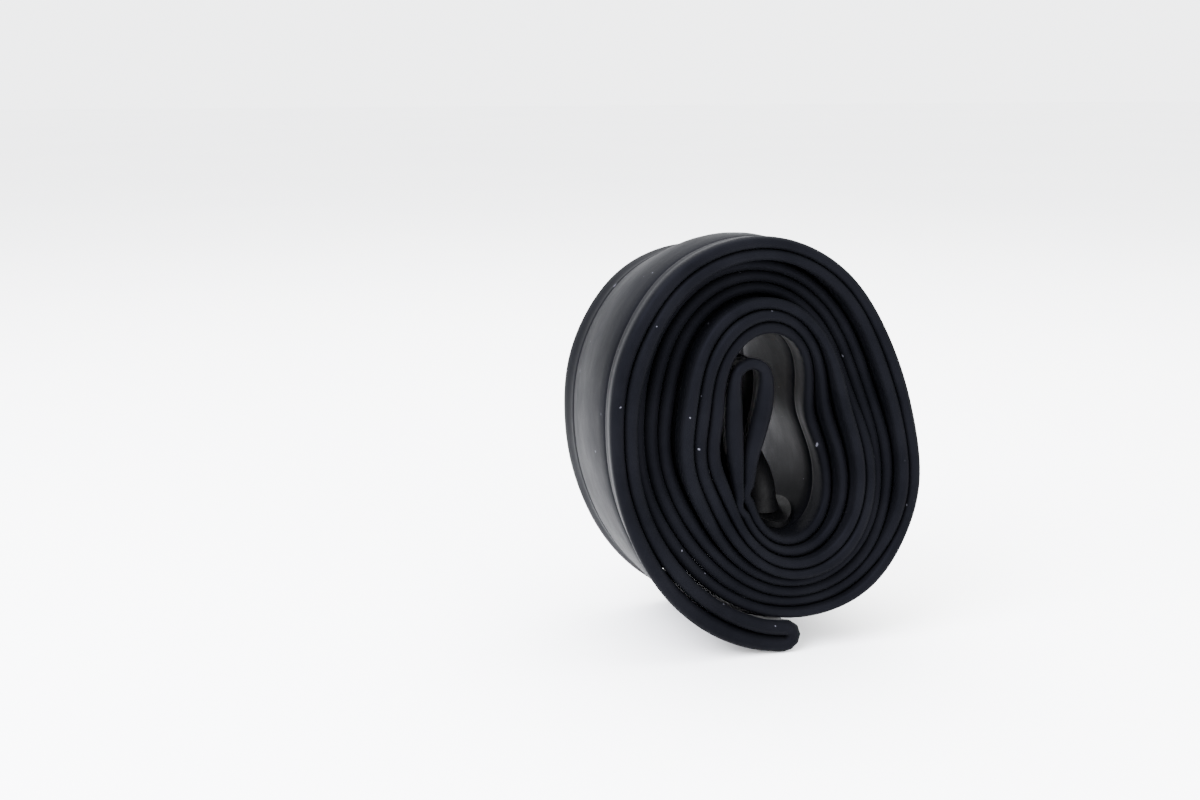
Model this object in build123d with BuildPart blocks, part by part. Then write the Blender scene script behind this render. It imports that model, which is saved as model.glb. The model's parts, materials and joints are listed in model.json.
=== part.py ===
from build123d import *
import math
import os

os.makedirs("parts", exist_ok=True)

# A 26 inch bicycle inner tube with a Schrader valve, as it is packed: the air is drawn out,
# the ring is pressed flat, doubled over and rolled up, and the roll stands on its loose end.
# The roll's axis runs along Y, its open face looks towards -Y, and it stands on z = 0.

# ---------------------------------------------------------------- rolled rubber, in mm
LAY_FLAT = 50.0  # width of the flattened tube, along the roll's axis
WALL = 0.9  # one rubber wall
BAND = 1.9  # the two walls pressed together, with the air that is left between them
ROLL_CENTRE = (1.24, 55.75)  # x and z of the roll's middle
LAYERS = 8.0  # layers between the two rings below
# Reach of the innermost and the outermost layer from the roll's middle, every 30 degrees
# round from +X towards +Z: both are ovals that lean to the left
CORE_REACH = [16.0, 15.2, 19.8, 28.0, 23.7, 17.0, 14.4, 14.5, 18.8, 27.3, 31.3, 22.5]
RIM_REACH = [41.8, 39.9, 44.9, 50.6, 51.7, 46.8, 42.7, 42.7, 45.5, 50.8, 52.8, 49.0]
HARMONICS = 4
INNER_START = -1.5  # layer of the inner leg where the roll begins, on its left side
LEG_STEP = 1.0  # the outer leg lies one layer further out
FIRST_TURN = 0.19  # turns from the left side to the place where the core loop lets go
LAST_TURN = 4.262  # turns to the fold at the loose end
STEPS_PER_TURN = 36
FLARE_START = 3.98  # where the loose end begins to stand off the roll
FLARE_OUTER = 6.0
FLARE_INNER = 1.6
PRESSED_Z = 0.85  # middle of the band where the roll's weight presses it flat
TAIL_POINTS = 7
LOOP_POINTS = 30
# The innermost fold stands up in the hollow core: its middle line, from the outer leg's side
CORE_LOOP = [
    (-8.0, 42.5),
    (-8.8, 49.5),
    (-9.4, 56.5),
    (-9.7, 63.5),
    (-9.8, 69.5),
    (-8.9, 73.3),
    (-5.6, 74.8),
    (-2.3, 73.3),
    (-1.4, 69.5),
    (-1.8, 63.5),
    (-3.2, 57.5),
    (-4.8, 51.5),
    (-5.4, 45.5),
]

# ---------------------------------------------------------------- valve, in mm
VALVE_LENGTH = 48.0  # from the tube's wall to the rim of the stem
VALVE_X = 8.0
FLOOR_Z = 29.55  # inner face of the innermost layer under the valve
STEM_LEAN = 60.0  # degrees that the stem leans to the back from upright
FOOT_RISE = 3.0
FOOT_BEND = 9.0  # radius of the bend in the rubber foot
PAD_WIDTH = 14.0
PAD_LENGTH = 24.0
PAD_THICK = 1.5
PAD_REACH = 9.5  # the pad's underside is drawn this far to both sides
FOOT_DIAMETER = 10.0
FOOT_START = 1.6  # height of the foot's lower edge, inside the pad
FOOT_HEIGHT = 3.2
JACKET_DIAMETER = 8.3
AIRWAY = 3.0
AIRWAY_OVERRUN = 1.0  # the bore is cut from this far below the pad
INSERT_LENGTH = 34.0  # brass stem, most of it inside the rubber
INSERT_DIAMETER = 6.3
THREAD_LENGTH = 15.0
THREAD_CREST = 7.7
THREAD_ROOT = 6.9
THREAD_PITCH = 0.794  # 32 threads to the inch
# Parts of a pitch where a ridge starts, reaches its crest and leaves it
RIDGE_FOOT = 0.1
RIDGE_RISE = 0.45
RIDGE_FALL = 0.65
RIM_CHAMFER = 0.4

CORE_BORE = 5.3
CORE_BORE_DEPTH = 6.6
CHAMBER = 4.6
CHAMBER_TOP = 8.4  # depth where the bore's tapered seat ends
CHAMBER_DEPTH = 20.5
CHAMBER_TAPER = 1.0
PLUG_TOP = 0.9
PLUG_END = 5.2
PLUG_CREST = 5.16
PLUG_ROOT = 4.76
PLUG_PITCH = 0.706  # 36 threads to the inch
PLUG_HOLE = 1.5
BRIDGE_HEIGHT = 1.5  # the bar across the plug's top that a key turns
BRIDGE_WIDTH = 2.2
BARREL_TOP = 5.25
BARREL_END = 13.4
BARREL_DIAMETER = 3.9
BARREL_BORE = 3.0
BARREL_WALL = 0.8
BARREL_HOLE = 1.3
GASKET_TOP = 6.8
GASKET_END = 8.2
GASKET_WIDE = 5.16
GASKET_NARROW = 4.6
PIN_TOP = 0.7
PIN_END = 17.5
PIN_DIAMETER = 0.9
COLLAR_TOP = 6.6
COLLAR_THICK = 0.4
COLLAR_DIAMETER = 2.3
WASHER_TOP = 13.45
WASHER_END = 14.35
WASHER_DIAMETER = 3.1
CUP_TOP = 13.7
CUP_END = 15.3
CUP_DIAMETER = 3.7
SPRING_WIRE = 0.3
SPRING_DIAMETER = 2.1  # of the coil's middle line
SPRING_TURNS = 6
SPRING_CLEARANCE = 0.03

CAP_TOP = 4.2  # above the stem's rim
CAP_SKIRT = 7.2  # below the stem's rim
CAP_BODY = 10.0
CAP_RIB_DIAMETER = 0.9
CAP_RIBS = 20
CAP_BORE = 7.86
CAP_POCKET = 4.4
CAP_CROWN = 1.6
CAP_EDGE = 0.8
SEAL_GAP = 0.05
SEAL_THICK = 1.2
SEAL_DIAMETER = 7.6
SEAL_HOLE = 4.4

# ---------------------------------------------------------------- lines worked out from these
LEAN = math.radians(STEM_LEAN)
STRAIGHT = VALVE_LENGTH - FOOT_RISE - FOOT_BEND * LEAN
STEM_OUT = FOOT_BEND * (1 - math.cos(LEAN)) + STRAIGHT * math.sin(LEAN)
STEM_UP = FOOT_RISE + FOOT_BEND * math.sin(LEAN) + STRAIGHT * math.cos(LEAN)
CAP_REACH = CAP_TOP * math.sin(LEAN) + (CAP_BODY / 2) * math.cos(LEAN)
DEPTH = LAY_FLAT / 2 + STEM_OUT + CAP_REACH  # from the open face to the cap's back edge
FRONT_Y = -DEPTH / 2
BACK_Y = FRONT_Y + LAY_FLAT
VALVE_Y = FRONT_Y + LAY_FLAT / 2
STEM_TIP = Vector(VALVE_X, VALVE_Y + STEM_OUT, FLOOR_Z + STEM_UP)
STEM_DIRECTION = Vector(0, math.sin(LEAN), math.cos(LEAN))
STEM_AXIS = Axis(STEM_TIP, STEM_DIRECTION)
# Section through the stem: x is the distance from its middle, y the height above its rim
STEM_SECTION = Plane(STEM_TIP, x_dir=(1, 0, 0), z_dir=(0, -math.cos(LEAN), math.sin(LEAN)))
STEM_RIM = Plane(STEM_TIP, x_dir=(1, 0, 0), z_dir=STEM_DIRECTION)


def reach(ring, turn):
    """Smooth closed curve through the compass reaches of a ring, turn in whole turns from +X."""
    total = 0.0
    for j, radius in enumerate(ring):
        angle = 2 * math.pi * (turn - j / len(ring))
        waves = sum(math.cos(k * angle) for k in range(1, HARMONICS + 1))
        total += radius * (1 + 2 * waves) / len(ring)
    return total


def layer_step(turn):
    """Thickness that one layer takes up in a direction of the roll."""
    return (reach(RIM_REACH, turn) - reach(CORE_REACH, turn)) / LAYERS


def leg_point(turns, first_layer, flare):
    """Point of a leg's middle line, turns counted outwards from the roll's left side."""
    turn = 0.5 + turns
    layer = first_layer + 2 * turns
    radius = reach(CORE_REACH, turn) + layer * layer_step(turn)
    loose = min(max((turns - FLARE_START) / (LAST_TURN - FLARE_START), 0.0), 1.0)
    radius += flare * loose * loose * (3 - 2 * loose)
    angle = 2 * math.pi * turn
    return (
        ROLL_CENTRE[0] + radius * math.cos(angle),
        max(ROLL_CENTRE[1] + radius * math.sin(angle), PRESSED_Z),
    )


def leg(first_layer, flare):
    """A leg's middle line from the core to the loose end."""
    count = round((LAST_TURN - FIRST_TURN) * STEPS_PER_TURN)
    span = LAST_TURN - FIRST_TURN
    return [leg_point(FIRST_TURN + span * i / count, first_layer, flare) for i in range(count + 1)]


def tail_fold(outer_end, inner_end):
    """Half circle that joins the two legs at the loose end."""
    middle = ((outer_end[0] + inner_end[0]) / 2, (outer_end[1] + inner_end[1]) / 2)
    radius = math.dist(outer_end, inner_end) / 2
    start = math.atan2(outer_end[1] - middle[1], outer_end[0] - middle[0])
    points = []
    for i in range(1, TAIL_POINTS + 1):
        angle = start + math.pi * i / (TAIL_POINTS + 1)
        points.append((middle[0] + radius * math.cos(angle), middle[1] + radius * math.sin(angle)))
    return points


def core_fold(inner, outer):
    """The innermost fold, from the inner leg's start to the outer leg's."""
    leaving = Vector(*inner[0]) - Vector(*inner[1])
    arriving = Vector(*outer[1]) - Vector(*outer[0])
    ends = (leaving.normalized(), arriving.normalized())
    curve = Spline(inner[0], *CORE_LOOP[::-1], outer[0], tangents=ends)
    places = [curve @ (i / LOOP_POINTS) for i in range(1, LOOP_POINTS)]
    return [(place.X, place.Y) for place in places]


def middle_line():
    """Closed middle line of the whole ring: out along one leg, back along the other."""
    outer = leg(INNER_START + LEG_STEP, FLARE_OUTER)
    inner = leg(INNER_START, FLARE_INNER)
    return outer + tail_fold(outer[-1], inner[-1]) + inner[::-1] + core_fold(inner, outer)


def side_line(line, side):
    """The middle line moved sideways by half the band's thickness."""
    points = []
    for i, here in enumerate(line):
        before = line[i - 1]
        after = line[(i + 1) % len(line)]
        back = math.dist(before, here)
        ahead = math.dist(here, after)
        dx = (here[0] - before[0]) * ahead / back + (after[0] - here[0]) * back / ahead
        dz = (here[1] - before[1]) * ahead / back + (after[1] - here[1]) * back / ahead
        shift = side * BAND / 2 / math.hypot(dx, dz)
        points.append((here[0] + shift * dz, here[1] - shift * dx))
    return points


def arcs(points):
    """The line in threes, one for each arc of a smooth chain."""
    return [points[i : i + 3] for i in range(0, len(points) - 2, 2)]


RING = middle_line()
RING_LENGTH = sum(math.dist(RING[i - 1], RING[i]) for i in range(len(RING)))

# ---------------------------------------------------------------- rubber ring
with BuildPart() as tube_body:
    with BuildSketch(Plane.XZ.offset(-BACK_Y)):
        for side, mode in ((1, Mode.ADD), (-1, Mode.SUBTRACT)):
            outline = side_line(RING, side)
            with BuildLine():
                for start, middle, end in arcs(outline + outline[:1]):
                    ThreePointArc(start, middle, end)
            make_face(mode=mode)
    extrude(amount=LAY_FLAT)
    split(bisect_by=Plane.XY, keep=Keep.TOP)
    with Locations(Location((VALVE_X, VALVE_Y, FLOOR_Z))):
        Cylinder(AIRWAY / 2, WALL, align=(Align.CENTER, Align.CENTER, Align.MAX), mode=Mode.SUBTRACT)
tube_body.part.label = "tube_body"
export_step(tube_body.part, "parts/tube_body.step")


# ---------------------------------------------------------------- valve's rubber
def under_pad(arc):
    """Whether an arc of the ring's face lies below the pad."""
    return all(abs(x - VALVE_X) < PAD_REACH and z < FLOOR_Z + PAD_REACH for x, z in arc)


LAST_HALF_TURN = LOOP_POINTS + STEPS_PER_TURN // 2
PAD_ARCS = [arc for arc in arcs(side_line(RING, 1))[-LAST_HALF_TURN // 2 :] if under_pad(arc)]
VALVE_SIDE = Plane((VALVE_X, 0, 0), x_dir=(0, 1, 0), z_dir=(1, 0, 0))
FOOT_PLANE = Plane((VALVE_X, VALVE_Y, FLOOR_Z + FOOT_START), x_dir=(1, 0, 0), z_dir=(0, 0, 1))
JACKET_RUN = STRAIGHT - THREAD_LENGTH

with BuildPart() as valve_rubber:
    with BuildSketch(Plane.XZ.offset(-VALVE_Y - PAD_LENGTH / 2)):
        with BuildLine():
            for lift in (0, PAD_THICK):
                for arc in PAD_ARCS:
                    ThreePointArc(*[(x, z + lift) for x, z in arc])
            for x, z in (PAD_ARCS[0][0], PAD_ARCS[-1][-1]):
                Line((x, z), (x, z + PAD_THICK))
        make_face()
    extrude(amount=PAD_LENGTH)
    with BuildSketch(Plane((VALVE_X, VALVE_Y, 0))):
        Ellipse(PAD_WIDTH / 2, PAD_LENGTH / 2)
    extrude(amount=FLOOR_Z + PAD_REACH, mode=Mode.INTERSECT)
    with BuildSketch(FOOT_PLANE):
        Circle(FOOT_DIAMETER / 2)
    with BuildSketch(FOOT_PLANE.offset(FOOT_HEIGHT)):
        Circle(JACKET_DIAMETER / 2)
    loft()
    with BuildLine(VALVE_SIDE) as jacket_line:
        rise = Line((VALVE_Y, FLOOR_Z + FOOT_START), (VALVE_Y, FLOOR_Z + FOOT_RISE))
        bend = JernArc(rise @ 1, (0, 1), FOOT_BEND, -STEM_LEAN)
        PolarLine(bend @ 1, JACKET_RUN, 90 - STEM_LEAN)
    with BuildSketch(FOOT_PLANE):
        Circle(JACKET_DIAMETER / 2)
    sweep(path=jacket_line.wires()[0])
    with BuildLine(VALVE_SIDE) as airway_line:
        rise = Line((VALVE_Y, FLOOR_Z - AIRWAY_OVERRUN), (VALVE_Y, FLOOR_Z + FOOT_RISE))
        bend = JernArc(rise @ 1, (0, 1), FOOT_BEND, -STEM_LEAN)
        PolarLine(bend @ 1, JACKET_RUN, 90 - STEM_LEAN)
    with BuildSketch(Plane((VALVE_X, VALVE_Y, FLOOR_Z - AIRWAY_OVERRUN))):
        Circle(AIRWAY / 2)
    sweep(path=airway_line.wires()[0], mode=Mode.SUBTRACT)
    with BuildSketch(STEM_RIM.offset(-INSERT_LENGTH)):
        Circle(INSERT_DIAMETER / 2)
    extrude(amount=INSERT_LENGTH, mode=Mode.SUBTRACT)
valve_rubber.part.label = "valve_rubber"
export_step(valve_rubber.part, "parts/valve_rubber.step")


# ---------------------------------------------------------------- brass stem
def thread_rings(crest, root, pitch, bottom, top):
    """Zigzag of thread ridges from a lower to an upper height, as radius and height."""
    points = []
    for i in range(int((top - bottom) / pitch)):
        start = bottom + i * pitch
        points.append((root / 2, start + pitch * RIDGE_FOOT))
        points.append((crest / 2, start + pitch * RIDGE_RISE))
        points.append((crest / 2, start + pitch * RIDGE_FALL))
        points.append((root / 2, start + pitch))
    return points


with BuildPart() as stem_insert:
    with BuildSketch(STEM_SECTION):
        with BuildLine():
            Polyline(
                (AIRWAY / 2, -INSERT_LENGTH),
                (INSERT_DIAMETER / 2, -INSERT_LENGTH),
                (INSERT_DIAMETER / 2, -THREAD_LENGTH),
                (THREAD_ROOT / 2, -THREAD_LENGTH),
                *thread_rings(THREAD_CREST, THREAD_ROOT, THREAD_PITCH, -THREAD_LENGTH, -RIM_CHAMFER),
                (THREAD_ROOT / 2 - RIM_CHAMFER / 2, 0),
                (CORE_BORE / 2, 0),
                (CORE_BORE / 2, -CORE_BORE_DEPTH),
                (CHAMBER / 2, -CHAMBER_TOP),
                (CHAMBER / 2, -CHAMBER_DEPTH),
                (AIRWAY / 2, -CHAMBER_DEPTH - CHAMBER_TAPER),
                close=True,
            )
        make_face()
    revolve(axis=STEM_AXIS)
stem_insert.part.label = "stem_insert"
export_step(stem_insert.part, "parts/stem_insert.step")

# ---------------------------------------------------------------- valve core
with BuildPart() as core_plug:
    with BuildSketch(STEM_SECTION):
        with BuildLine():
            Polyline(
                (PLUG_HOLE / 2, -PLUG_END),
                (PLUG_ROOT / 2, -PLUG_END),
                *thread_rings(PLUG_CREST, PLUG_ROOT, PLUG_PITCH, -PLUG_END, -PLUG_TOP - BRIDGE_HEIGHT),
                (PLUG_ROOT / 2, -PLUG_TOP),
                (PLUG_HOLE / 2, -PLUG_TOP),
                close=True,
            )
        make_face()
    revolve(axis=STEM_AXIS)
    with BuildSketch(STEM_RIM.offset(-PLUG_TOP - BRIDGE_HEIGHT)):
        Circle(PLUG_CREST / 2)
        Rectangle(BRIDGE_WIDTH, PLUG_CREST * 2, mode=Mode.SUBTRACT)
    extrude(amount=BRIDGE_HEIGHT, mode=Mode.SUBTRACT)
core_plug.part.label = "core_plug"
export_step(core_plug.part, "parts/core_plug.step")

with BuildPart() as core_barrel:
    with BuildSketch(STEM_SECTION):
        with BuildLine():
            Polyline(
                (BARREL_HOLE / 2, -BARREL_END),
                (BARREL_DIAMETER / 2, -BARREL_END),
                (BARREL_DIAMETER / 2, -BARREL_TOP),
                (PLUG_HOLE / 2, -BARREL_TOP),
                (PLUG_HOLE / 2, -BARREL_TOP - BARREL_WALL),
                (BARREL_BORE / 2, -BARREL_TOP - BARREL_WALL),
                (BARREL_BORE / 2, -BARREL_END + BARREL_WALL),
                (BARREL_HOLE / 2, -BARREL_END + BARREL_WALL),
                close=True,
            )
        make_face()
    revolve(axis=STEM_AXIS)
core_barrel.part.label = "core_barrel"
export_step(core_barrel.part, "parts/core_barrel.step")

with BuildPart() as core_gasket:
    with BuildSketch(STEM_SECTION):
        with BuildLine():
            Polyline(
                (BARREL_DIAMETER / 2, -GASKET_END),
                (GASKET_NARROW / 2, -GASKET_END),
                (GASKET_WIDE / 2, -GASKET_TOP),
                (BARREL_DIAMETER / 2, -GASKET_TOP),
                close=True,
            )
        make_face()
    revolve(axis=STEM_AXIS)
core_gasket.part.label = "core_gasket"
export_step(core_gasket.part, "parts/core_gasket.step")

with BuildPart() as core_pin:
    with BuildSketch(STEM_SECTION):
        with BuildLine():
            Polyline(
                (0, -PIN_END),
                (PIN_DIAMETER / 2, -PIN_END),
                (PIN_DIAMETER / 2, -COLLAR_TOP - COLLAR_THICK),
                (COLLAR_DIAMETER / 2, -COLLAR_TOP - COLLAR_THICK),
                (COLLAR_DIAMETER / 2, -COLLAR_TOP),
                (PIN_DIAMETER / 2, -COLLAR_TOP),
                (PIN_DIAMETER / 2, -PIN_TOP),
                (0, -PIN_TOP),
                close=True,
            )
        make_face()
    revolve(axis=STEM_AXIS)
core_pin.part.label = "core_pin"
export_step(core_pin.part, "parts/core_pin.step")

with BuildPart() as plunger_washer:
    with BuildSketch(STEM_RIM.offset(-WASHER_END)):
        Circle(WASHER_DIAMETER / 2)
        Circle(PIN_DIAMETER / 2, mode=Mode.SUBTRACT)
    extrude(amount=WASHER_END - WASHER_TOP)
plunger_washer.part.label = "plunger_washer"
export_step(plunger_washer.part, "parts/plunger_washer.step")

with BuildPart() as plunger_cup:
    with BuildSketch(STEM_RIM.offset(-CUP_END)):
        Circle(CUP_DIAMETER / 2)
        Circle(PIN_DIAMETER / 2, mode=Mode.SUBTRACT)
    extrude(amount=CUP_END - CUP_TOP)
    with BuildSketch(STEM_RIM.offset(-WASHER_END)):
        Circle(WASHER_DIAMETER / 2)
    extrude(amount=WASHER_END - CUP_TOP, mode=Mode.SUBTRACT)
plunger_cup.part.label = "plunger_cup"
export_step(plunger_cup.part, "parts/plunger_cup.step")

SPRING_SPACE = BARREL_END - BARREL_WALL - COLLAR_TOP - COLLAR_THICK
SPRING_HEIGHT = SPRING_SPACE - SPRING_WIRE - 2 * SPRING_CLEARANCE
SPRING_DEPTH = BARREL_END - BARREL_WALL - SPRING_WIRE / 2 - SPRING_CLEARANCE
SPRING_FOOT = STEM_TIP - STEM_DIRECTION * SPRING_DEPTH
with BuildPart() as core_spring:
    with BuildLine() as coil:
        Helix(
            SPRING_HEIGHT / SPRING_TURNS,
            SPRING_HEIGHT,
            SPRING_DIAMETER / 2,
            center=SPRING_FOOT,
            direction=STEM_DIRECTION,
        )
    with BuildSketch(Plane(coil.line @ 0, z_dir=coil.line % 0)):
        Circle(SPRING_WIRE / 2)
    sweep(path=coil.line, is_frenet=True)
core_spring.part.label = "core_spring"
export_step(core_spring.part, "parts/core_spring.step")

# ---------------------------------------------------------------- cap
with BuildPart() as cap_seal:
    with BuildSketch(STEM_RIM.offset(SEAL_GAP)):
        Circle(SEAL_DIAMETER / 2)
        Circle(SEAL_HOLE / 2, mode=Mode.SUBTRACT)
    extrude(amount=SEAL_THICK)
cap_seal.part.label = "cap_seal"
export_step(cap_seal.part, "parts/cap_seal.step")

CAP_CEILING = SEAL_GAP + SEAL_THICK + SEAL_GAP
with BuildPart() as cap_shell:
    with BuildSketch(STEM_SECTION):
        with BuildLine():
            Polyline(
                (CAP_BORE / 2, -CAP_SKIRT),
                (CAP_BODY / 2, -CAP_SKIRT),
                (CAP_BODY / 2, CAP_TOP - CAP_EDGE),
                (CAP_BODY / 2 - CAP_EDGE, CAP_TOP),
                (0, CAP_TOP),
                (0, CAP_TOP - CAP_CROWN),
                (CAP_POCKET / 2, CAP_TOP - CAP_CROWN),
                (CAP_POCKET / 2, CAP_CEILING),
                (CAP_BORE / 2, CAP_CEILING),
                close=True,
            )
        make_face()
    revolve(axis=STEM_AXIS)
    with BuildSketch(STEM_RIM.offset(-CAP_SKIRT)):
        with PolarLocations(CAP_BODY / 2, CAP_RIBS):
            Circle(CAP_RIB_DIAMETER / 2)
        Circle(CAP_BORE / 2 + (CAP_BODY - CAP_BORE) / 4, mode=Mode.SUBTRACT)
    extrude(amount=CAP_SKIRT + CAP_TOP - CAP_EDGE)
cap_shell.part.label = "cap_shell"
export_step(cap_shell.part, "parts/cap_shell.step")

print("ring length", round(RING_LENGTH), "mm, depth", round(DEPTH, 2), "mm")
print("stem tip", STEM_TIP, "direction", STEM_DIRECTION)
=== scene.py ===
import bpy
import json
import math
import numpy as np
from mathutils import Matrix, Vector


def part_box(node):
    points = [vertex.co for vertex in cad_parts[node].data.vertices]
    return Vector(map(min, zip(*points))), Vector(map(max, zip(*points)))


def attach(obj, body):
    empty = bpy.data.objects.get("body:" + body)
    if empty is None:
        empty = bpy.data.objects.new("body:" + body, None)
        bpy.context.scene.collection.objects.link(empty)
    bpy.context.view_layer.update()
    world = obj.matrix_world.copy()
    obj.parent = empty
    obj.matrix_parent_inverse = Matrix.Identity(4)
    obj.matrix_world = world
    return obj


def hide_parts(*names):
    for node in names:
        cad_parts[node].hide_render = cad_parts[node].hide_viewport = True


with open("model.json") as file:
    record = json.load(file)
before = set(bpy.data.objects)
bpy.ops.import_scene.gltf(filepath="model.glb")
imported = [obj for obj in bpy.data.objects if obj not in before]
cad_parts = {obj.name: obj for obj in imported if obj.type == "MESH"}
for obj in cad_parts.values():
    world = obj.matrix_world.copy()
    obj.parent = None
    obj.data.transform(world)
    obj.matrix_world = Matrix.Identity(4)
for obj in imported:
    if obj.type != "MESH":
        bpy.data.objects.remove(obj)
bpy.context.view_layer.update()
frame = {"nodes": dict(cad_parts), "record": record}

MM = 0.001
ROLL = "roll"

# ---------------------------------------- the roll, in mm, as the CAD part has it
LAY_FLAT = 50.0  # width of the flattened tube, along the roll's axis
ROLL_CENTRE = (1.24, 55.75)  # x and z of the roll's middle
# Reach of layer 0 and of layer 8, every 30 degrees round from +X towards +Z
CORE_REACH = [16.0, 15.2, 19.8, 28.0, 23.7, 17.0, 14.4, 14.5, 18.8, 27.3, 31.3, 22.5]
RIM_REACH = [41.8, 39.9, 44.9, 50.6, 51.7, 46.8, 42.7, 42.7, 45.5, 50.8, 52.8, 49.0]
LAYERS = 8.0
HARMONICS = 4  # waves kept in the smooth rings through those reaches
INNER_START = -1.5  # layer of the inner leg where the roll begins
LEG_STEP = 1.0  # the outer leg lies one layer further out
FIRST_TURN = 0.19  # turns from the left side to the place where the core loop lets go
LAST_TURN = 4.262  # turns to the fold at the loose end
FLARE_START = 4.04  # where the loose end begins to stand off the roll
FLARE_OUTER = 2.6  # how far the outer leg has come off the roll at its end
FLARE_INNER = 0.9
PRESSED_HALF = 2.1  # half the thickness of the fold that the roll stands on
SAME_PLACE = 1e-6  # samples nearer than this are one
LEG_SAMPLES = 700
FOLD_SAMPLES = 14
LOOP_SPAN_SAMPLES = 12
LOOP_LEAD = 20  # sample of each leg that the core loop's curve is aimed at
# Middle line of the fold that stands up in the hollow core, from the outer leg's side
CORE_LOOP = [
    (-8.0, 42.5),
    (-8.8, 49.5),
    (-9.4, 56.5),
    (-9.7, 63.5),
    (-9.8, 69.5),
    (-8.9, 73.3),
    (-5.6, 74.8),
    (-2.3, 73.3),
    (-1.4, 69.5),
    (-1.8, 63.5),
    (-3.2, 57.5),
    (-4.8, 51.5),
    (-5.4, 45.5),
]
FRONT_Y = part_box("tube_body")[0][1] / MM

# ---------------------------------------- the flattened tube's section, in mm
WEB_HALF = 0.85  # half thickness between the edge folds
FOLD_THICK = 4.6  # thickest that an edge fold gets
FOLD_THIN = 0.15  # least that a fold stands above the web
FOLD_GAP = 0.12  # left between the folds of neighbouring layers
FOLD_WIDTH = 7.0  # reach of a fold across the tube
FOLD_UNEVEN = 0.03  # share that a fold's size wanders by
FOLD_BLUR = 9  # stations that a fold's size is smoothed over
STATION = 1.3  # spacing of the sections along the tube
OWN_STRETCH = 16.0  # length of tube round a station that doesn't count as a neighbour
FAR_AWAY = 99.0  # stands for no neighbour
CREASE_AT = 8.6  # groove beside each edge fold
CREASE_DEEP = 0.4
CREASE_WIDE = 0.55
BACK_DROP = 0.07  # how much smaller the roll's back is than its open face
BACK_START = 16.0  # distance behind the open face where it begins to get smaller
LOOP_THIN = 0.62  # the core loop's fold is thinner round its top
LOOP_TOP = 66.0  # height where that begins
LOOP_TOP_RUN = 6.0  # height that it takes
LOOP_BLUR = 5

# Places across the section: round the edge, along the fold, over the crease, across the web
ROUND_STEPS = (0.0, 0.25, 0.5, 0.75, 1.0)
FOLD_STEPS = (0.2, 0.4, 0.6, 0.8, 1.0)
CREASE_STEPS = (-1.6, -0.7, 0.0, 0.7, 1.6)
WEB_STEPS = 9

# ---------------------------------------- layers that sit further back, in mm
# Stretches in turns: start, end and the run that they ease over
RECESS_OUTER = (1.45, 3.35, 0.16)
RECESS_INNER = (2.1, 3.45, 0.16)
RECESS_CORE = (0.16, 0.78, 0.28)
RECESS_LOW = 2.2
RECESS_MORE = 4.6  # added where the recess is deepest
RECESS_SIDE = 120  # degrees from +X towards +Z, where it is deepest
CORE_OUTER_BACK = 5.0
CORE_INNER_BACK = 9.5
RECESS_BLUR = 15  # stations
EDGE_WAVE = 0.35  # how far the edges wander


def reach(ring, turn):
    """Smooth closed curve through the compass reaches of a ring, turn in whole turns from +X."""
    total = 0.0
    for j, radius in enumerate(ring):
        angle = 2 * math.pi * (turn - j / len(ring))
        waves = sum(np.cos(k * angle) for k in range(1, HARMONICS + 1))
        total = total + radius * (1 + 2 * waves) / len(ring)
    return total


def leg_line(first_layer, flare):
    """A leg's middle line from the core to the loose end: x, z, turns."""
    turns = np.linspace(FIRST_TURN, LAST_TURN, LEG_SAMPLES)
    layer = first_layer + 2 * turns
    core = reach(CORE_REACH, 0.5 + turns)
    radius = core + layer * (reach(RIM_REACH, 0.5 + turns) - core) / LAYERS
    loose = np.clip((turns - FLARE_START) / (LAST_TURN - FLARE_START), 0, 1)
    radius = radius + flare * loose**2 * (3 - 2 * loose)
    angle = 2 * math.pi * (0.5 + turns)
    x = ROLL_CENTRE[0] + radius * np.cos(angle)
    z = np.maximum(ROLL_CENTRE[1] + radius * np.sin(angle), PRESSED_HALF)
    return np.stack([x, z, turns], axis=1)


def tail_fold(outer_end, inner_end):
    """Half circle that joins the two legs at the loose end."""
    middle = (outer_end[:2] + inner_end[:2]) / 2
    arm = outer_end[:2] - middle
    points = []
    for step in np.linspace(0, math.pi, FOLD_SAMPLES)[1:-1]:
        turned = (
            arm[0] * math.cos(step) - arm[1] * math.sin(step),
            arm[0] * math.sin(step) + arm[1] * math.cos(step),
        )
        points.append((middle[0] + turned[0], middle[1] + turned[1], LAST_TURN))
    return np.array(points)


def smooth_curve(points, count):
    """Catmull-Rom curve through points, count steps in each span."""
    curve = []
    for i in range(1, len(points) - 2):
        p0, p1, p2, p3 = points[i - 1 : i + 3]
        for t in np.linspace(0, 1, count, endpoint=False):
            a = 2 * p1 + (p2 - p0) * t
            b = (2 * p0 - 5 * p1 + 4 * p2 - p3) * t**2
            c = (3 * p1 - p0 - 3 * p2 + p3) * t**3
            curve.append((a + b + c) / 2)
    return np.array(curve)


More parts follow.
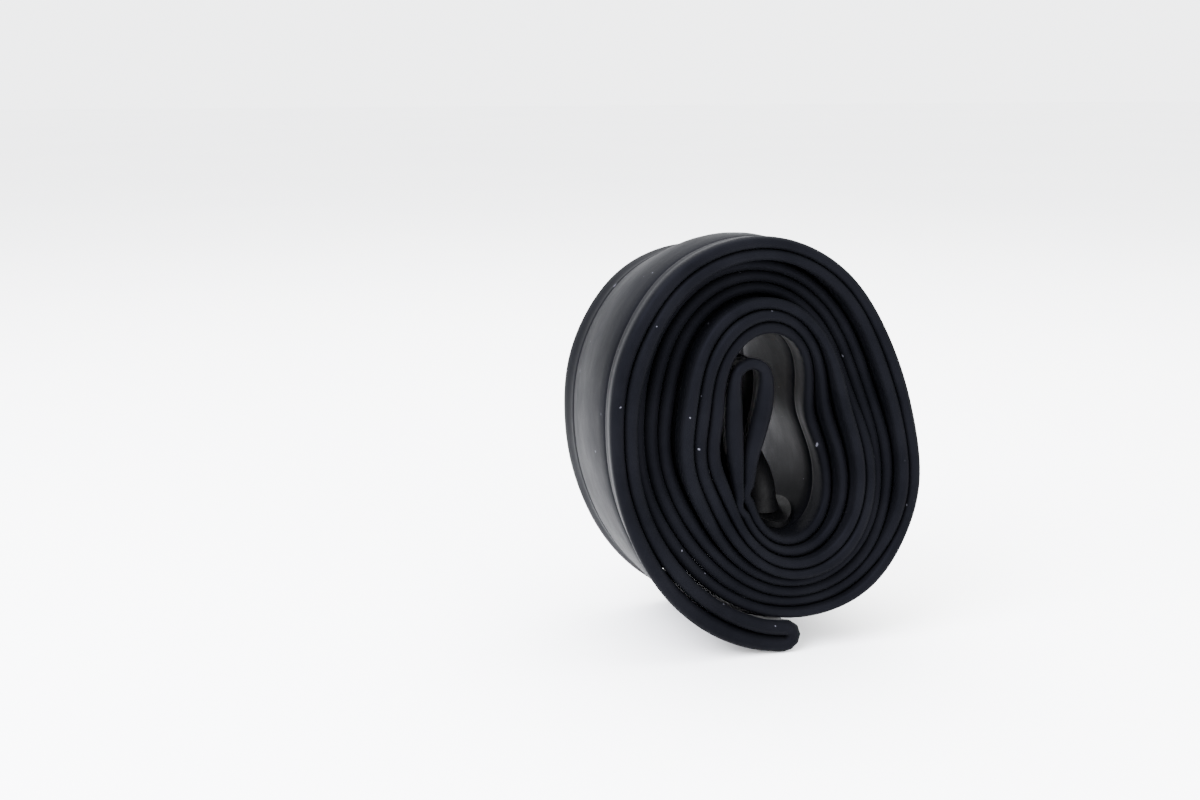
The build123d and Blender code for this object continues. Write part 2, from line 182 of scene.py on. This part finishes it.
def middle_line():
    """Closed middle line at even stations: x, z, turns; and the leg, 1 outer, 0 inner."""
    outer = leg_line(INNER_START + LEG_STEP, FLARE_OUTER)
    inner = leg_line(INNER_START, FLARE_INNER)
    loop = np.array([(x, z, 0.0) for x, z in CORE_LOOP])
    lead_in = [inner[LOOP_LEAD], inner[0]]
    lead_out = [outer[0], outer[LOOP_LEAD]]
    loop = smooth_curve(np.concatenate([lead_in, loop[::-1], lead_out]), LOOP_SPAN_SAMPLES)
    fold = tail_fold(outer[-1], inner[-1])
    line = np.concatenate([outer, fold, inner[::-1], loop])
    round_fold = np.linspace(1, 0, len(fold))
    round_loop = np.linspace(0, 1, len(loop))
    which = np.concatenate([np.ones(len(outer)), round_fold, np.zeros(len(inner)), round_loop])
    closed = np.concatenate([line, line[:1]])
    step = np.hypot(*np.diff(closed[:, :2], axis=0).T)
    keep = np.concatenate([[True], step[:-1] > SAME_PLACE])
    line, which = line[keep], which[keep]
    closed = np.concatenate([line, line[:1]])
    reached = np.concatenate([[0.0], np.cumsum(np.hypot(*np.diff(closed[:, :2], axis=0).T))])
    count = int(reached[-1] / STATION)
    wanted = np.arange(count) * reached[-1] / count
    columns = [np.interp(wanted, reached, closed[:, k]) for k in range(3)]
    which = np.interp(wanted, reached, np.concatenate([which, which[:1]]))
    return np.stack(columns, axis=1), which


def blurred(values, width):
    """Running mean round a closed line, twice."""
    kernel = np.ones(width) / width
    for _ in range(2):
        wrapped = np.concatenate([values[-width:], values, values[:width]])
        values = np.convolve(wrapped, kernel, mode="same")[width:-width]
    return values


def ripple(s, seed, waves, shortest, longest):
    """Sum of random waves along a length, about -1 to 1, the same each run."""
    rng = np.random.default_rng(seed)
    total = np.zeros_like(s)
    for _ in range(waves):
        length = rng.uniform(shortest, longest)
        total += np.sin(2 * math.pi * s / length + rng.uniform(0, 2 * math.pi))
    return total / math.sqrt(waves)


def room_for_folds(line):
    """Room from each station to the next stretch of the roll."""
    xz = line[:, :2]
    step = np.hypot(*(xz - np.roll(xz, 1, axis=0)).T).mean()
    skip = int(OWN_STRETCH / step)
    count = len(xz)
    nearest = np.full(count, FAR_AWAY)
    for i in range(count):
        away = np.hypot(xz[:, 0] - xz[i, 0], xz[:, 1] - xz[i, 1])
        index = (np.arange(i - skip, i + skip + 1)) % count
        away[index] = FAR_AWAY
        nearest[i] = away.min()
    return nearest


def within(turns, stretch):
    """1 inside a stretch of turns, 0 outside, eased at both ends."""
    start, end, soft = stretch
    rise = np.clip((turns - start) / soft, 0, 1)
    fall = np.clip((end - turns) / soft, 0, 1)
    return (rise**2 * (3 - 2 * rise)) * (fall**2 * (3 - 2 * fall))


def recess(turns, which, angle):
    """How far each stretch of the roll is pushed back from the open face, in mm."""
    high_left = 0.5 + 0.5 * np.cos(angle - math.radians(RECESS_SIDE))
    is_outer = which > 0.5
    middle = np.where(is_outer, within(turns, RECESS_OUTER), within(turns, RECESS_INNER))
    core = np.where(is_outer, CORE_OUTER_BACK, CORE_INNER_BACK) * within(turns, RECESS_CORE)
    return middle * (RECESS_LOW + RECESS_MORE * high_left) + core


def half_profile(fold_half, positions):
    """Half thickness of the flattened tube across its width, for one fold size."""
    half = np.full(len(positions), WEB_HALF)
    for k, v in enumerate(positions):
        edge = min(v, LAY_FLAT - v)
        if edge < fold_half:
            half[k] = math.sqrt(max(fold_half**2 - (fold_half - edge) ** 2, 0.0))
        elif edge < FOLD_WIDTH:
            ease = 0.5 + 0.5 * math.cos(math.pi * (edge - fold_half) / (FOLD_WIDTH - fold_half))
            half[k] = WEB_HALF + (fold_half - WEB_HALF) * ease
        half[k] -= CREASE_DEEP * math.exp(-(((edge - CREASE_AT) / CREASE_WIDE) ** 2))
    return half


def fold_sizes(line, s):
    """Half the thickness of the edge folds at each station: as much as the neighbours leave."""
    least = WEB_HALF + FOLD_THIN
    uneven = 1 + FOLD_UNEVEN * ripple(s, seed=3, waves=6, shortest=18, longest=60)
    fold_half = np.minimum(room_for_folds(line) - FOLD_GAP, FOLD_THICK) / 2
    fold_half = np.clip(blurred(fold_half, FOLD_BLUR) * uneven, least, None)
    apex = (line[:, 2] < FIRST_TURN) * np.clip((line[:, 1] - LOOP_TOP) / LOOP_TOP_RUN, 0, 1)
    return np.maximum(blurred(fold_half * (1 - (1 - LOOP_THIN) * apex), LOOP_BLUR), least)


def places_across(fold_half):
    """Places across the tube where a section has points, from the open face to the back."""
    near = [fold_half * (1 - math.cos(math.pi / 2 * step)) for step in ROUND_STEPS]
    near += [fold_half + (FOLD_WIDTH - fold_half) * step for step in FOLD_STEPS]
    near += [CREASE_AT + CREASE_WIDE * step for step in CREASE_STEPS]
    web = list(np.linspace(near[-1], LAY_FLAT - near[-1], WEB_STEPS)[1:-1])
    far = [LAY_FLAT - v for v in near[::-1]]
    return np.array(near + web + far)


def drawn_in(verts, layer):
    """Makes the back of the roll smaller than its open face, and keeps it on the floor."""
    behind = np.clip((verts[:, :, 1] - FRONT_Y - BACK_START) / (LAY_FLAT - BACK_START), 0, 1)
    smaller = BACK_DROP * behind**2 * (3 - 2 * behind) * layer[:, None]
    verts[:, :, 0] -= (verts[:, :, 0] - ROLL_CENTRE[0]) * smaller
    verts[:, :, 2] -= verts[:, :, 2] * smaller
    verts[:, :, 2] = np.maximum(verts[:, :, 2], 0.0)
    return verts


def grid_faces(count, around):
    """Quads of a grid that closes both ways."""
    faces = []
    for i in range(count):
        here, after = i * around, (i + 1) % count * around
        for k in range(around):
            beside = (k + 1) % around
            faces.append((here + k, after + k, after + beside, here + beside))
    return faces


def tube_mesh():
    """The whole flattened ring as one closed grid of quads."""
    line, which = middle_line()
    count = len(line)
    xz = line[:, :2]
    ahead = np.roll(xz, -1, axis=0) - np.roll(xz, 1, axis=0)
    ahead /= np.linalg.norm(ahead, axis=1)[:, None]
    normal = np.stack([ahead[:, 1], -ahead[:, 0]], axis=1)
    angle = np.arctan2(xz[:, 1] - ROLL_CENTRE[1], xz[:, 0] - ROLL_CENTRE[0])
    length = np.hypot(*(np.roll(xz, -1, axis=0) - xz).T).sum()
    s = np.arange(count) * length / count
    fold_half = fold_sizes(line, s)
    back = blurred(recess(line[:, 2], which, angle), RECESS_BLUR)
    back += EDGE_WAVE * ripple(s, seed=5, waves=7, shortest=25, longest=120)
    turn = angle / (2 * math.pi)
    core = reach(CORE_REACH, turn)
    layer = np.hypot(xz[:, 0] - ROLL_CENTRE[0], xz[:, 1] - ROLL_CENTRE[1]) - core
    layer = np.clip(layer / (reach(RIM_REACH, turn) - core), 0, 1)
    rings = []
    for i in range(count):
        across = places_across(fold_half[i])
        half = half_profile(fold_half[i], across)
        y = FRONT_Y + across + back[i]
        outer = xz[i][None, :] + half[:, None] * normal[i][None, :]
        inner = xz[i][None, :] - half[:, None] * normal[i][None, :]
        ring = [(outer[k, 0], y[k], outer[k, 1]) for k in range(len(across))]
        ring += [(inner[k, 0], y[k], inner[k, 1]) for k in range(len(across) - 2, 0, -1)]
        rings.append(ring)
    verts = drawn_in(np.array(rings), layer)
    flat = (verts.reshape(-1, 3) * MM).tolist()
    faces = grid_faces(count, verts.shape[1])
    mesh = bpy.data.meshes.new("rubber_ring")
    mesh.from_pydata(flat, [], faces)
    mesh.update()
    mesh.polygons.foreach_set("use_smooth", [True] * len(mesh.polygons))
    return mesh


def new_piece(name, mesh, surface, body):
    """A piece made of a mesh, with its material, that rides on a body."""
    piece = bpy.data.objects.new(name, mesh)
    bpy.context.collection.objects.link(piece)
    mesh.materials.append(surface)
    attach(piece, body)
    return piece


# ---------------------------------------- materials
def material(name):
    """A new node material: itself, its tree and its shader."""
    made = bpy.data.materials.new(name)
    made.use_nodes = True
    tree = made.node_tree
    shader = tree.nodes["Principled BSDF"]
    return made, tree, shader


def noise(tree, coords, scale, detail, roughness):
    """Noise over the object, 0 to 1."""
    node = tree.nodes.new("ShaderNodeTexNoise")
    node.inputs["Scale"].default_value = scale
    node.inputs["Detail"].default_value = detail
    node.inputs["Roughness"].default_value = roughness
    tree.links.new(coords, node.inputs["Vector"])
    return node.outputs["Fac"]


def ramp(tree, value, low, high):
    """Colour that runs between two stops, each a place and its colour."""
    node = tree.nodes.new("ShaderNodeValToRGB")
    for element, (place, colour) in zip(node.color_ramp.elements, (low, high)):
        element.position = place
        element.color = (*colour, 1.0)
    tree.links.new(value, node.inputs["Fac"])
    return node.outputs["Color"]


def grey(value):
    """Colour with three equal parts."""
    return (value, value, value)


def bump(tree, shader, height, distance, strength, under=None):
    """Relief from a height, on top of the relief under it."""
    node = tree.nodes.new("ShaderNodeBump")
    node.inputs["Distance"].default_value = distance
    node.inputs["Strength"].default_value = strength
    tree.links.new(height, node.inputs["Height"])
    if under is not None:
        tree.links.new(under, node.inputs["Normal"])
    tree.links.new(node.outputs["Normal"], shader.inputs["Normal"])
    return node.outputs["Normal"]


def object_coords(tree):
    """Coordinates that stay with the piece."""
    return tree.nodes.new("ShaderNodeTexCoord").outputs["Object"]


def butyl():
    """Satin black rubber with clouds, dust specks and shallow waves."""
    made, tree, shader = material("butyl_rubber")
    coords = object_coords(tree)
    cloud = noise(tree, coords, scale=60, detail=5, roughness=0.6)
    colour = ramp(tree, cloud, (0.3, (0.0013, 0.0014, 0.0018)), (0.7, (0.0026, 0.0027, 0.0034)))
    specks = noise(tree, coords, scale=700, detail=0, roughness=0.5)
    dust = ramp(tree, specks, (0.865, grey(0.0)), (0.885, grey(1.0)))
    mix = tree.nodes.new("ShaderNodeMix")
    mix.data_type = "RGBA"
    tree.links.new(dust, mix.inputs["Factor"])
    tree.links.new(colour, mix.inputs["A"])
    mix.inputs["B"].default_value = (0.05, 0.05, 0.06, 1.0)
    tree.links.new(mix.outputs["Result"], shader.inputs["Base Color"])
    patches = noise(tree, coords, scale=120, detail=5, roughness=0.55)
    rough = ramp(tree, patches, (0.3, grey(0.47)), (0.75, grey(0.55)))
    tree.links.new(rough, shader.inputs["Roughness"])
    shader.inputs["Specular IOR Level"].default_value = 0.012
    shader.inputs["Specular Tint"].default_value = (0.66, 0.68, 1.0, 1.0)
    swell = noise(tree, coords, scale=160, detail=3, roughness=0.5)
    waves = bump(tree, shader, swell, distance=0.0003, strength=0.35)
    grain = noise(tree, coords, scale=3000, detail=2, roughness=0.5)
    bump(tree, shader, grain, distance=0.00004, strength=0.4, under=waves)
    return made


def plain_rubber(name, colour, rough):
    """Moulded rubber or plastic with a fine grain."""
    made, tree, shader = material(name)
    coords = object_coords(tree)
    lighter = tuple(c * 1.7 for c in colour)
    cloud = noise(tree, coords, scale=300, detail=4, roughness=0.5)
    shade = ramp(tree, cloud, (0.3, colour), (0.8, lighter))
    tree.links.new(shade, shader.inputs["Base Color"])
    grain = noise(tree, coords, scale=900, detail=3, roughness=0.5)
    roughness = ramp(tree, grain, (0.3, grey(rough)), (0.8, grey(rough + 0.15)))
    tree.links.new(roughness, shader.inputs["Roughness"])
    shader.inputs["Specular IOR Level"].default_value = 0.09
    pores = noise(tree, coords, scale=2500, detail=3, roughness=0.5)
    bump(tree, shader, pores, distance=0.00005, strength=0.6)
    return made


def metal(name, colour, rough):
    """Bare metal with fine scratches."""
    made, tree, shader = material(name)
    coords = object_coords(tree)
    darker = tuple(c * 0.8 for c in colour)
    cloud = noise(tree, coords, scale=350, detail=5, roughness=0.6)
    shade = ramp(tree, cloud, (0.3, colour), (0.8, darker))
    tree.links.new(shade, shader.inputs["Base Color"])
    grain = noise(tree, coords, scale=1500, detail=3, roughness=0.6)
    roughness = ramp(tree, grain, (0.3, grey(rough)), (0.8, grey(rough + 0.18)))
    tree.links.new(roughness, shader.inputs["Roughness"])
    shader.inputs["Metallic"].default_value = 1.0
    scratches = noise(tree, coords, scale=4000, detail=2, roughness=0.5)
    bump(tree, shader, scratches, distance=0.00002, strength=0.5)
    return made


BUTYL = butyl()
MATERIALS = {
    "valve_rubber": plain_rubber("moulded_rubber", (0.0014, 0.0014, 0.0017), 0.5),
    "brass_stem": metal("machined_brass", (0.83, 0.62, 0.31), 0.22),
    "brass_core": metal("core_brass", (0.80, 0.60, 0.30), 0.28),
    "brass_pin": metal("pin_brass", (0.86, 0.70, 0.42), 0.2),
    "spring_steel": metal("spring_wire", (0.62, 0.62, 0.60), 0.25),
    "seal_rubber": plain_rubber("seal_rubber", (0.004, 0.004, 0.004), 0.6),
    "cap_plastic": plain_rubber("cap_plastic", (0.0015, 0.0015, 0.0017), 0.36),
}
SLOT_OF = {part["node"]: part["material_slot"] for part in frame["record"]["subparts"]}
for node, cad in frame["nodes"].items():
    if SLOT_OF[node] in MATERIALS:
        for cad_slot in cad.material_slots:
            cad_slot.material = MATERIALS[SLOT_OF[node]]

rubber_ring = new_piece("rubber_ring", tube_mesh(), BUTYL, ROLL)
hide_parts("tube_body")

# ---------------------------------------- camera, floor and light
SENSOR_WIDTH = 36.0
LENS = 46.44
PITCH_DOWN = 12.0  # degrees
FACE_TURN = 18.0  # degrees between the view and the roll's axis
CAMERA_LEFT = 153.6  # mm from the middle
CAMERA_FRONT = 335.9  # mm before the open face
CAMERA_HEIGHT = 143.8
FLOOR_REACH = 6.0  # metres
SKY_COLOUR = (0.97, 0.98, 1.0, 1.0)
SKY_STRENGTH = 4.5

camera_data = bpy.data.cameras.new("camera")
camera_data.sensor_width = SENSOR_WIDTH
camera_data.lens = LENS
camera_data.clip_start = 0.01
camera = bpy.data.objects.new("camera", camera_data)
camera.location = (-CAMERA_LEFT * MM, (FRONT_Y - CAMERA_FRONT) * MM, CAMERA_HEIGHT * MM)
camera.rotation_euler = (math.radians(90 - PITCH_DOWN), 0, math.radians(-FACE_TURN))
bpy.context.collection.objects.link(camera)
bpy.context.scene.camera = camera


def area_light(name, place, aim, size, watts, colour):
    """A square soft light that looks at a point."""
    data = bpy.data.lights.new(name, "AREA")
    data.shape = "RECTANGLE"
    data.size = size
    data.size_y = size
    data.energy = watts
    data.color = colour
    lamp = bpy.data.objects.new(name, data)
    lamp.location = place
    lamp.rotation_euler = (Vector(aim) - Vector(place)).to_track_quat("-Z", "Y").to_euler()
    bpy.context.collection.objects.link(lamp)


COOL = (0.88, 0.90, 1.0)
WHITE = (1, 1, 1)
MIDDLE = (0, 0, 0.05)
HIGHER = (0, 0, 0.06)
area_light("key_left", (-0.5, -0.3, 0.6), aim=HIGHER, size=0.45, watts=26.0, colour=COOL)
area_light("top_soft", (0.05, 0.15, 0.8), aim=MIDDLE, size=0.9, watts=30.0, colour=WHITE)
area_light("front_fill", (0.3, -0.85, 0.4), aim=MIDDLE, size=0.5, watts=6.0, colour=WHITE)

world = bpy.data.worlds.new("studio")
world.use_nodes = True
sky = world.node_tree.nodes["Background"]
sky.inputs["Color"].default_value = SKY_COLOUR
sky.inputs["Strength"].default_value = SKY_STRENGTH
bpy.context.scene.world = world


def floor():
    """Plain pale floor that the roll stands on."""
    mesh = bpy.data.meshes.new("floor")
    signs = ((-1, -1), (1, -1), (1, 1), (-1, 1))
    corners = [(x * FLOOR_REACH, y * FLOOR_REACH, 0) for x, y in signs]
    mesh.from_pydata(corners, [], [(0, 1, 2, 3)])
    made, tree, shader = material("pale_floor")
    cloud = noise(tree, object_coords(tree), scale=3, detail=2, roughness=0.5)
    shade = ramp(tree, cloud, (0.3, (0.93, 0.93, 0.94)), (0.7, grey(0.96)))
    tree.links.new(shade, shader.inputs["Base Color"])
    shader.inputs["Roughness"].default_value = 0.7
    ground = bpy.data.objects.new("floor", mesh)
    mesh.materials.append(made)
    bpy.context.collection.objects.link(ground)


floor()
